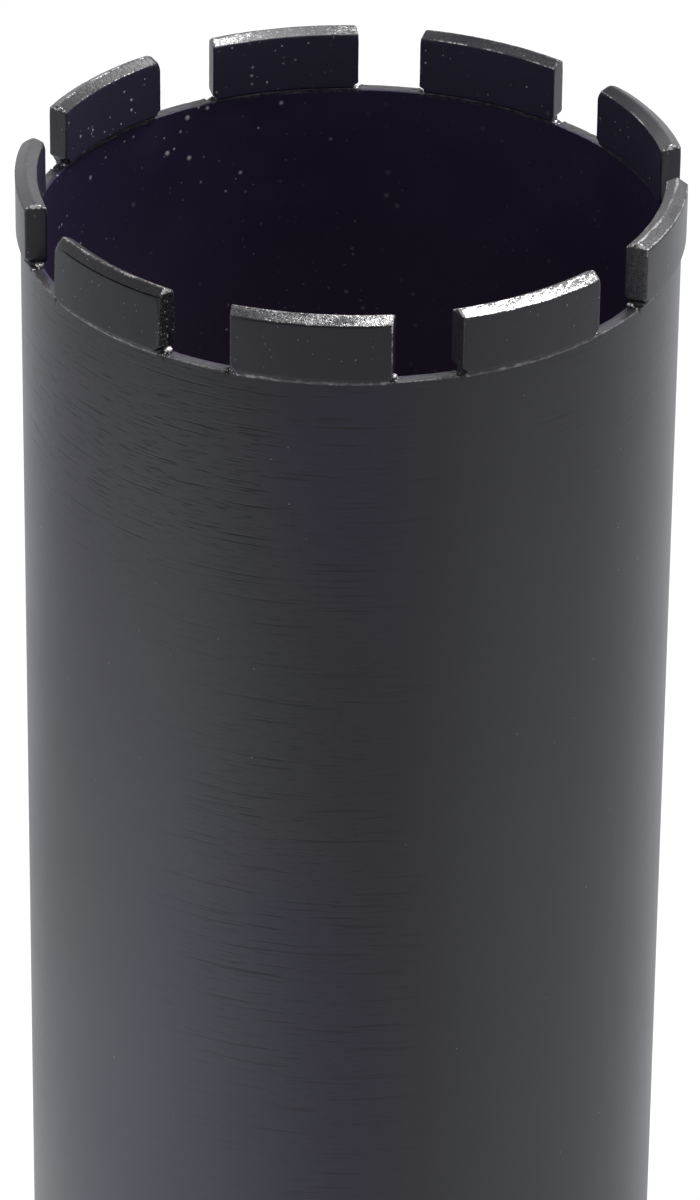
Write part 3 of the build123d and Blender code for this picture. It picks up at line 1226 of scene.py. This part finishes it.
# %% Grain and wear of one segment
def roughen_segment(piece, measured, number):
    """Press grain and chips into a segment, and store its wear, its smear, its painted shade and its
    painted glints.
    """
    points = vertex_places(piece)
    zones = segment_zones(number, measured)
    crisp = 1 - 0.8 * rub[number]["smear"]
    wear = wear_amount(number, points, measured, zones, crisp)
    press(piece, grain_depth(points, zones, crisp))
    high_up = smooth_step(measured[:, 1], foot_height + 2 * mm, shoulder_height)
    traits = {
        "wear": np.clip(wear, 0, 1),
        "smear": np.full(len(points), rub[number]["smear"]),
        "shade": np.full(len(points), rub[number]["shade"]),
        "grit_glints": zones.end * rub[number]["grit_glints"] * (1 - 0.5 * high_up),
    }
    for trait, values in traits.items():
        store = piece.data.attributes.new(trait, "FLOAT", "POINT")
        store.data.foreach_set("value", values.astype(np.float32))
    print(piece.name, "roof wear", round(float(wear[zones.roof > 0.5].mean()), 2))


print("roughening helper is ready")

# %% [markdown]
# ## Paint on the segments
#
# The stored wear is smooth from vertex to vertex, but real rubbed paint breaks
# into flecks much finer than the mesh. So the material swings the wear up and
# down with two noises before it asks how much is gone: a little gives scuffed
# grey paint, more gives bare metal.

# %% Broken wear
scuff_zone = (0.10, 0.50)
metal_zone = (0.50, 0.70)

segment_paint, segment_shader = new_material("segment_paint")


def stored_trait(name):
    """Value that the segments' vertices carry under a name."""
    return add_node(segment_paint, "ShaderNodeAttribute", attribute_name=name).outputs["Fac"]


fine_break = noise(segment_paint, (6400, 6400, 6400), detail=2.0)
fine_swing = ease(segment_paint, fine_break, 0.32, 0.68, -0.55, 0.55)
coarse_break = noise(segment_paint, (2500, 2500, 2500), detail=1.0, shift=17.0)
coarse_swing = ease(segment_paint, coarse_break, 0.34, 0.66, -0.26, 0.26)
both_swings = calculate(segment_paint, "ADD", fine_swing, coarse_swing)
kept_grain = calculate(segment_paint, "SUBTRACT", 1.0, stored_trait("smear"))
kept_swing = calculate(segment_paint, "MULTIPLY", both_swings, kept_grain)
swing = calculate(segment_paint, "ADD", kept_swing, 1.0)
broken = calculate(segment_paint, "MULTIPLY", stored_trait("wear"), swing)
scuff_share = ease(segment_paint, broken, *scuff_zone)
metal_share = ease(segment_paint, broken, *metal_zone)
print("metal shows from a wear of", metal_zone[0])

# %% Colours of the segments
matt_black = (0.0185, 0.0168, 0.0262)
bare_metal = (0.50, 0.49, 0.49)
scuffed_paint = (0.105, 0.102, 0.110)
painted_glint_colour = (0.88, 0.88, 0.90)

segment_dust = specks(segment_paint, 1.05 * mm, 0.16 * mm, 0.42)
# Painted glints: grit on the end faces shows as near-white specks in the colour.
painted_glints = specks(segment_paint, 0.40 * mm, 0.14 * mm, 0.46)
painted_glints = calculate(segment_paint, "MULTIPLY", painted_glints, stored_trait("grit_glints"))
# Painted shade: a bar's paint is blended towards near black by its stored shade.
segment_colour = blend_colours(segment_paint, stored_trait("shade"), matt_black, painted_shade_black)
for share, colour in (
    (scuff_share, scuffed_paint),
    (segment_dust, dust_colour),
    (painted_glints, painted_glint_colour),
    (metal_share, bare_metal),
):
    segment_colour = blend_colours(segment_paint, share, segment_colour, colour)
print("five colours lie over one another")

# %% Bumps and gloss of the segments
segment_peel = noise(segment_paint, (1100, 1100, 1100), detail=2.0, shift=5.0)
segment_sand = noise(segment_paint, (6200, 6200, 6200), detail=1.0, shift=9.0)
sand_height = calculate(segment_paint, "MULTIPLY", segment_sand, scuff_share)
emboss(segment_paint, segment_shader, [
    (segment_peel, 0.014 * mm),
    (sand_height, 0.045 * mm),
    (segment_dust, 0.03 * mm),
])
feed(
    segment_paint, segment_shader,
    Base_Color=segment_colour,
    Metallic=metal_share,
    Roughness=ease(segment_paint, broken, 0.1, 0.8, 0.30, 0.34),
)
print("segment paint has", len(segment_paint.node_tree.nodes), "nodes")

# %% Make all segments
inner_face_limit = segment_inner + 0.12 * mm


def paint_inner_face(piece, measured):
    """Give the bore's paint to the faces that look at the axis."""
    piece.data.materials.append(bore_paint)
    for face in piece.data.polygons:
        radius, height = measured[list(face.vertices), :2].max(axis=0)
        if radius < inner_face_limit and height < shoulder_height:
            face.material_index = 1


for number in range(1, segment_count + 1):
    segment, measured = loft_segment(number)
    roughen_segment(segment, measured, number)
    finish_piece(segment, segment_paint, [f"segment_{number}"])
    paint_inner_face(segment, measured)
print("each segment has about", len(segment.data.polygons), "faces")

# %% [markdown]
# ## Laser weld seams
#
# A laser melts the foot of each segment and the rim of the tube into one
# narrow seam. From outside it shows as a thin pale line, a little proud of
# the steel and never quite straight. Each seam is a small bead lofted along
# the rim, whose outline is pressed in here and there so that the line swells
# and thins like the real one.

# %% Seam section
seam_sunk = rim_height - 0.30 * mm
seam_low = rim_height - 0.42 * mm
seam_bulge = rim_height + 0.12 * mm
seam_high = foot_height + 0.30 * mm
seam_outer = barrel_radius + 0.34 * mm
seam_inner = bore_radius - 0.28 * mm
seam_corners = [
    (bore_radius - 0.01 * mm, seam_low, 0.06 * mm),
    (bore_radius + 0.30 * mm, seam_sunk, 0.06 * mm),
    (barrel_radius - 0.30 * mm, seam_sunk, 0.06 * mm),
    (barrel_radius + 0.01 * mm, seam_low, 0.06 * mm),
    (seam_outer, seam_bulge, 0.16 * mm),
    (seam_outer - 0.06 * mm, seam_high, 0.12 * mm),
    (seam_inner + 0.06 * mm, seam_high, 0.12 * mm),
    (seam_inner, seam_bulge, 0.16 * mm),
]
seam_spacing = np.array([0.15, 0.6, 0.15, 0.08, 0.08, 0.6, 0.08, 0.08]) * mm
seam_outline = rounded_outline(seam_corners, seam_spacing)
print("points in the seam's outline:", len(seam_outline))

# %% Seam material: steel that the laser melted, under very thin paint
weld_black = (0.060, 0.057, 0.070)
weld_silver = (0.26, 0.25, 0.27)

laser_weld, laser_shader = new_material("laser_weld")
weld_patch = noise(laser_weld, (900, 900, 900), detail=3.0)
silver_share = ease(laser_weld, weld_patch, 0.40, 0.70)
weld_grain = noise(laser_weld, (3800, 3800, 3800), detail=2.0, shift=2.0)
emboss(laser_weld, laser_shader, [(weld_grain, 0.05 * mm)])
feed(
    laser_weld, laser_shader,
    Base_Color=blend_colours(laser_weld, silver_share, weld_black, weld_silver),
    Metallic=calculate(laser_weld, "MULTIPLY", silver_share, 0.6),
    Roughness=ease(laser_weld, weld_patch, 0.3, 0.7, 0.42, 0.30),
)
print("laser weld has", len(laser_weld.node_tree.nodes), "nodes")

# %% Make the seams
seam_gap = 0.13 * mm
seam_overlap = 0.12 * mm
seam_middle = np.array((ridge_radius, rim_height + 0.1 * mm))
end_shrink = 0.35
end_shrink_reach = 0.30 * mm


def loft_seam(number):
    """Seam under one segment, from notch to notch, and its points."""
    start = -end_place(number, -1) + notch_size(number, -1) - seam_overlap
    finish = end_place(number, 1) - notch_size(number, 1) + seam_overlap
    grid = []
    for place in np.linspace(start, finish, int((finish - start) / seam_gap)):
        to_end = min(place - start, finish - place)
        shrink = end_shrink * bump_shape(to_end, end_shrink_reach)
        radius, height = (seam_outline + (seam_middle - seam_outline) * shrink * (0.2, 1.0)).T
        grid.append(beside_bar(number, place, radius, height))
    grid = np.array(grid)
    return skin(f"laser_seam_{number}", grid, caps=True), grid.reshape(-1, 3)


def roughen_seam(piece, points, number):
    """Press ripples into a seam, except where it is sunk in the rim."""
    ripple = relief(points, 0.55 * mm, 50 + number)
    slow = relief(points, 2.4 * mm, 70 + number)
    depth = 0.035 * mm * (1 + ripple) + 0.09 * mm * np.maximum(slow, 0)
    depth[np.abs(points[:, 2] - seam_sunk) < 0.02 * mm] = 0
    press(piece, depth)


for number in range(1, segment_count + 1):
    seam, seam_points = loft_seam(number)
    roughen_seam(seam, seam_points, number)
    finish_piece(seam, laser_weld, [f"weld_seam_{number}"])
print("each seam has about", len(seam.data.polygons), "faces")

# %% [markdown]
# ## Beads where the laser stopped
#
# At each end of a foot the last melt froze into a small bead, and some of it
# flew off as spatter. A few beads were wiped bare and shine like drops of
# silver. A bead is an icosphere made lumpy by relief, then sunk into the rim
# or the notch so that it grows out of the steel.

# %% Bead helper
def melt_drop(shape, centre, size, seed, flatten):
    """Add one lumpy drop to a bmesh. Size is its radius, and flatten is its
    height for a width of 1."""
    made = bmesh.ops.create_icosphere(shape, subdivisions=3, radius=size)
    points = np.array([vert.co for vert in made["verts"]])
    swell = 1 + 0.16 * relief(points + np.array(centre), size * 1.1, seed)
    grown = points * swell[:, None] * (1, 1, flatten) + centre
    for vert, place in zip(made["verts"], grown):
        vert.co = place


print("bead helper is ready")

# %% Bare weld metal
bead_bright = (0.86, 0.85, 0.85)
bead_dull = (0.20, 0.195, 0.21)

drop_metal, drop_shader = new_material("drop_metal")
drop_patch = noise(drop_metal, (2600, 2600, 2600), detail=2.0)
drop_grain = noise(drop_metal, (6200, 6200, 6200))
drop_share = ease(drop_metal, drop_patch, 0.40, 0.54)
emboss(drop_metal, drop_shader, [(drop_patch, 0.10 * mm), (drop_grain, 0.03 * mm)])
feed(
    drop_metal, drop_shader,
    Base_Color=blend_colours(drop_metal, drop_share, bead_dull, bead_bright),
    Metallic=drop_share,
    Roughness=ease(drop_metal, drop_patch, 0.3, 0.7, 0.50, 0.38),
)
print("drop metal has", len(drop_metal.node_tree.nodes), "nodes")

# %% Which beads came out bare
# For a segment's number and end, the bead's radius in millimetres. Those of
# the first table sit by the bore, the others by the outer wall. All that are
# in neither table are small and stayed under paint.
inner_beads = {
    (9, 1): 0.74, (8, 1): 0.70, (1, 1): 0.52, (3, -1): 0.50,
    (7, -1): 0.36, (7, 1): 0.34, (5, -1): 0.48, (6, -1): 0.36,
}
outer_beads = {(2, 1): 0.27, (1, -1): 0.20}
bare_beads = {**inner_beads, **outer_beads}
painted_bead = 0.22
print("bare beads:", len(bare_beads))

# %% Beads and spatter at one end of a segment
bead_chance = np.random.default_rng(5)


def add_bead(shape, end):
    """Add the bead in which the last melt froze."""
    number, side = end
    size = bare_beads.get(end, painted_bead) * mm
    if end == open_corner:
        inset = open_notch
    else:
        inset = bead_chance.uniform(0.15, 0.40) * mm
    radius = bore_radius + bead_chance.uniform(0.30, 0.60) * mm
    if end not in inner_beads:
        radius = barrel_radius - bead_chance.uniform(0.25, 0.75) * mm
    along = side * (end_place(number, side) - inset)
    centre = beside_bar(number, along, radius, rim_height + size * 0.45)
    melt_drop(shape, centre, size, 100 + 2 * number + side, 0.7)


def add_spatter(shape, end, drop):
    """Add one small drop that flew off."""
    number, side = end
    size = bead_chance.uniform(0.08, 0.20) * mm
    inset = bead_chance.uniform(-0.55, 0.75) * mm
    radius = barrel_radius - bead_chance.uniform(-0.02, 1.7) * mm
    height = rim_height + bead_chance.uniform(-0.25, 0.04) * mm
    if end == open_corner:
        inset = open_notch - bead_chance.uniform(-0.1, 0.3) * mm
    along = side * (end_place(number, side) - inset)
    centre = beside_bar(number, along, radius, height)
    melt_drop(shape, centre, size, 200 + 7 * number + drop, 0.8)


print("helpers for beads are ready")

# %% Place the beads
bare_spatter = 7
painted_spatter = 4

for number in range(1, segment_count + 1):
    for side, end_name in ((-1, "a"), (1, "b")):
        end = (number, side)
        shape = bmesh.new()
        add_bead(shape, end)
        for drop in range(bare_spatter if end in bare_beads else painted_spatter):
            add_spatter(shape, end, drop)
        mesh = bpy.data.meshes.new(f"melt_beads_{number}{end_name}")
        beads = object_from(shape, mesh.name, mesh)
        finish_piece(beads, drop_metal if end in bare_beads else laser_weld)
print("the last end has", len(beads.data.polygons), "faces")

# %% [markdown]
# ## Ring weld and hub weld
#
# The back plate is joined to the barrel by one weld bead, and the hub to the
# plate by another. A hand-held torch lays such a bead as a row of overlapping
# puddles. The bead here is a rounded section turned about the axis, and its
# depth follows a wave whose crests lean back in the middle of the bead, as
# the puddles' edges do.

# %% Rippled bead round the axis
bead_columns = 720
puddle_wobble = 0.8
puddle_roughness = 0.25


def rippled_bead(name, section, lean, puddle, height, seed):
    """Bead turned about the axis: section is a closed outline of (radius,
    height, share of ripple); puddle is the length of one ripple."""
    turns = np.linspace(0, 2 * math.pi, bead_columns, endpoint=False)
    radii, heights, shares = (values[:, None] for values in np.array(section).T)
    grid = turned(radii, np.repeat(heights, bead_columns, axis=1), turns)
    piece = skin(name, grid, close_rows=True)
    ripples = round(2 * math.pi * radii.mean() / puddle)
    wobble = relief(grid, 4.0 * mm, seed).reshape(grid.shape[:2])
    phase = ripples * turns[None, :] + lean * shares + puddle_wobble * wobble
    wave = 0.5 - 0.5 * np.abs(np.sin(phase / 2))
    rough = 0.5 + 0.5 * relief(grid, 0.7 * mm, seed + 1).reshape(grid.shape[:2])
    press(piece, (shares * height * (wave + puddle_roughness * rough)).ravel())
    print(name, "ripples:", ripples)
    return piece


def arc_section(first, second, bulge, corner, steps):
    """Closed outline: a bulging face from first to second, then back through
    the corner. The third number of each point is its share of the ripple."""
    first, second, corner = np.array(first), np.array(second), np.array(corner)
    chord = second - first
    out = np.array((chord[1], -chord[0])) / np.linalg.norm(chord)
    if out @ (corner - first) > 0:
        out = -out
    points = []
    for share in np.linspace(0, 1, steps):
        rise = 4 * share * (1 - share)
        spot = first + chord * share + out * bulge * rise
        points.append((*spot, math.sin(math.pi * share) ** 0.6 if 0 < share < 1 else 0.0))
    for share in (0.34, 0.67, 1.0):
        points.append((*(second + (corner - second) * share), 0.0))
    for share in (0.34, 0.67):
        points.append((*(corner + (first - corner) * share), 0.0))
    return points


print("helpers for rippled beads are ready")

# %% Weld paint: the same black over rippled steel
weld_paint, weld_shader = new_material("weld_paint")
weld_drift = ease(weld_paint, noise(weld_paint, (90, 90, 90)), 0.4, 0.6)
weld_fine = noise(weld_paint, (1500, 1500, 1500), detail=2.0)
emboss(weld_paint, weld_shader, [(weld_fine, 0.03 * mm)])
feed(
    weld_paint, weld_shader,
    Base_Color=blend_colours(weld_paint, weld_drift, black_neutral, black_violet),
    Roughness=ease(weld_paint, weld_fine, 0.3, 0.7, 0.26, 0.36),
)
print("weld paint has", len(weld_paint.node_tree.nodes), "nodes")

# %% Ring weld
ring_section = arc_section(
    (barrel_radius, seat_height + weld_bevel),
    (barrel_radius, seat_height - weld_bevel),
    0.40 * mm,
    (barrel_radius - weld_bevel, seat_height),
    15,
)
ring_bead = rippled_bead("ring_bead", ring_section, 1.9, 2.6 * mm, 0.22 * mm, 81)
finish_piece(ring_bead, weld_paint, ["ring_weld"])

# %% Hub weld
hub_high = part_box("threaded_hub")[1]
plate_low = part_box("back_plate")[0]
hub_radius = hub_high.y
plate_face = plate_low.z
hub_weld_leg = 4.0 * mm

hub_weld_section = arc_section(
    (hub_radius, plate_face - hub_weld_leg),
    (hub_radius + hub_weld_leg, plate_face),
    0.30 * mm,
    (hub_radius, plate_face),
    17,
)
hub_bead = rippled_bead("hub_bead", hub_weld_section, 2.2, 3.1 * mm, 0.35 * mm, 91)
finish_piece(hub_bead, weld_paint, ["hub_weld"])

# %% [markdown]
# ## The hub and its thread
#
# The hub was turned on a lathe and left as bare steel under a film of oil,
# because paint in a thread would crack off. Lathe marks are rings, so their
# noise depends only on the distance from the axis and the height. The thread
# has seven turns to the inch. One turn's V section climbs round the hole as a
# helix, and its ridges run out to nothing at both mouths.

# %% Helpers for turned parts
def lathe_marks(material, grains):
    """Noise in rings about the axis, with so many grains to the metre."""
    place = split_place(material)
    distance = axis_distance(material, place)
    rings = add_node(material, "ShaderNodeCombineXYZ")
    wire(material, calculate(material, "MULTIPLY", distance, grains), rings.inputs["X"])
    wire(material, calculate(material, "MULTIPLY", place.outputs["Z"], grains), rings.inputs["Y"])
    texture = add_node(material, "ShaderNodeTexNoise", Scale=1.0, Detail=2.0)
    wire(material, rings.outputs[0], texture.inputs["Vector"])
    return texture.outputs[0]


def repaint(node_name, material):
    """Give a solid's own mesh a material."""
    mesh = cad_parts[node_name].data
    mesh.materials.clear()
    mesh.materials.append(material)


print("helpers for turned parts are ready")

# %% Turned steel
steel_light = (0.53, 0.52, 0.51)
steel_dark = (0.40, 0.39, 0.38)

hub_steel, hub_shader = new_material("hub_steel")
hub_lathe = lathe_marks(hub_steel, 5200.0)
oil_share = ease(hub_steel, noise(hub_steel, (70, 70, 70), detail=3.0), 0.35, 0.65)
hub_scratches = ease(hub_steel, noise(hub_steel, (700, 700, 120), detail=3.0), 0.62, 0.75)
emboss(hub_steel, hub_shader, [(hub_lathe, 0.012 * mm), (hub_scratches, -0.010 * mm)])
feed(
    hub_steel, hub_shader,
    Base_Color=blend_colours(hub_steel, oil_share, steel_light, steel_dark),
    Metallic=1.0,
    Roughness=ease(hub_steel, hub_lathe, 0.3, 0.7, 0.26, 0.44),
)
repaint("threaded_hub", hub_steel)
print("hub steel has", len(hub_steel.node_tree.nodes), "nodes")

# %% Measures of the thread
# The ridge's depth, base and crest are shares of the pitch, as the standard
# for a unified thread has them.
turns_per_inch = 7
pitch = 25.4 * mm / turns_per_inch
major_radius = 15.875 * mm
minor_radius = major_radius - 0.541 * pitch
ridge_base = 0.875 * pitch
ridge_crest = 0.25 * pitch
thread_start = 2.6 * mm
thread_end = 38.2 * mm
runout_turns = 0.6
steps_per_turn = 120
thread_turns = (thread_end - thread_start) / pitch
thread_steps = int(thread_turns * steps_per_turn)
print("thread turns:", round(thread_turns, 2))
print("minor diameter, mm:", round(2 * minor_radius / mm, 2))

# %% Thread ridge
sunk = 0.03 * mm
crest_drop = 0.05 * mm
crest_side = 0.02 * mm
crest_inset = 0.06 * mm


def thread_section(runout):
    """Section of the ridge, as (radius, rise); runout is 1 where it is full."""
    crest_radius = major_radius - (major_radius - minor_radius) * runout
    crest_half = ridge_crest / 2 * (0.3 + 0.7 * runout)
    base_half = ridge_base / 2 * (0.15 + 0.85 * runout)
    return [
        (major_radius + sunk, -base_half),
        (crest_radius + crest_drop, -crest_half - crest_side),
        (crest_radius, -crest_half + crest_inset),
        (crest_radius, crest_half - crest_inset),
        (crest_radius + crest_drop, crest_half + crest_side),
        (major_radius + sunk, base_half),
    ]


thread_grid = []
for step in range(thread_steps + 1):
    climbed = step / thread_steps
    turn = 2 * math.pi * thread_turns * climbed
    height = thread_start + (thread_end - thread_start) * climbed
    runout = min(1.0, min(climbed, 1 - climbed) * thread_turns / runout_turns)
    thread_grid.append([
        (radius * math.cos(turn), radius * math.sin(turn), height + rise)
        for radius, rise in thread_section(runout)
    ])
thread = skin("hub_thread", np.array(thread_grid), caps=True)
finish_piece(thread, hub_steel)
print("thread:", len(thread.data.polygons), "faces")

# %% [markdown]
# ## Back plate
#
# The plate was turned too, but painted with the barrel. Rings show faintly
# through the paint, which has drifts of shade and a few specks of dust like
# the rest.

# %% Plate paint
plate_paint, plate_shader = new_material("plate_paint")
plate_lathe = lathe_marks(plate_paint, 3200.0)
plate_peel = noise(plate_paint, (900, 900, 900), shift=4.0)
plate_drift = ease(plate_paint, noise(plate_paint, (40, 40, 40)), 0.4, 0.6)
plate_dust = specks(plate_paint, 4.0 * mm, 0.25 * mm, 0.15)
plate_ground = blend_colours(plate_paint, plate_drift, black_neutral, black_violet)
emboss(plate_paint, plate_shader, [(plate_lathe, 0.010 * mm), (plate_peel, 0.010 * mm)])
feed(
    plate_paint, plate_shader,
    Base_Color=blend_colours(plate_paint, plate_dust, plate_ground, dust_colour),
    Roughness=ease(plate_paint, plate_drift, 0, 1, 0.28, 0.36),
)
repaint("back_plate", plate_paint)
print("plate paint has", len(plate_paint.node_tree.nodes), "nodes")
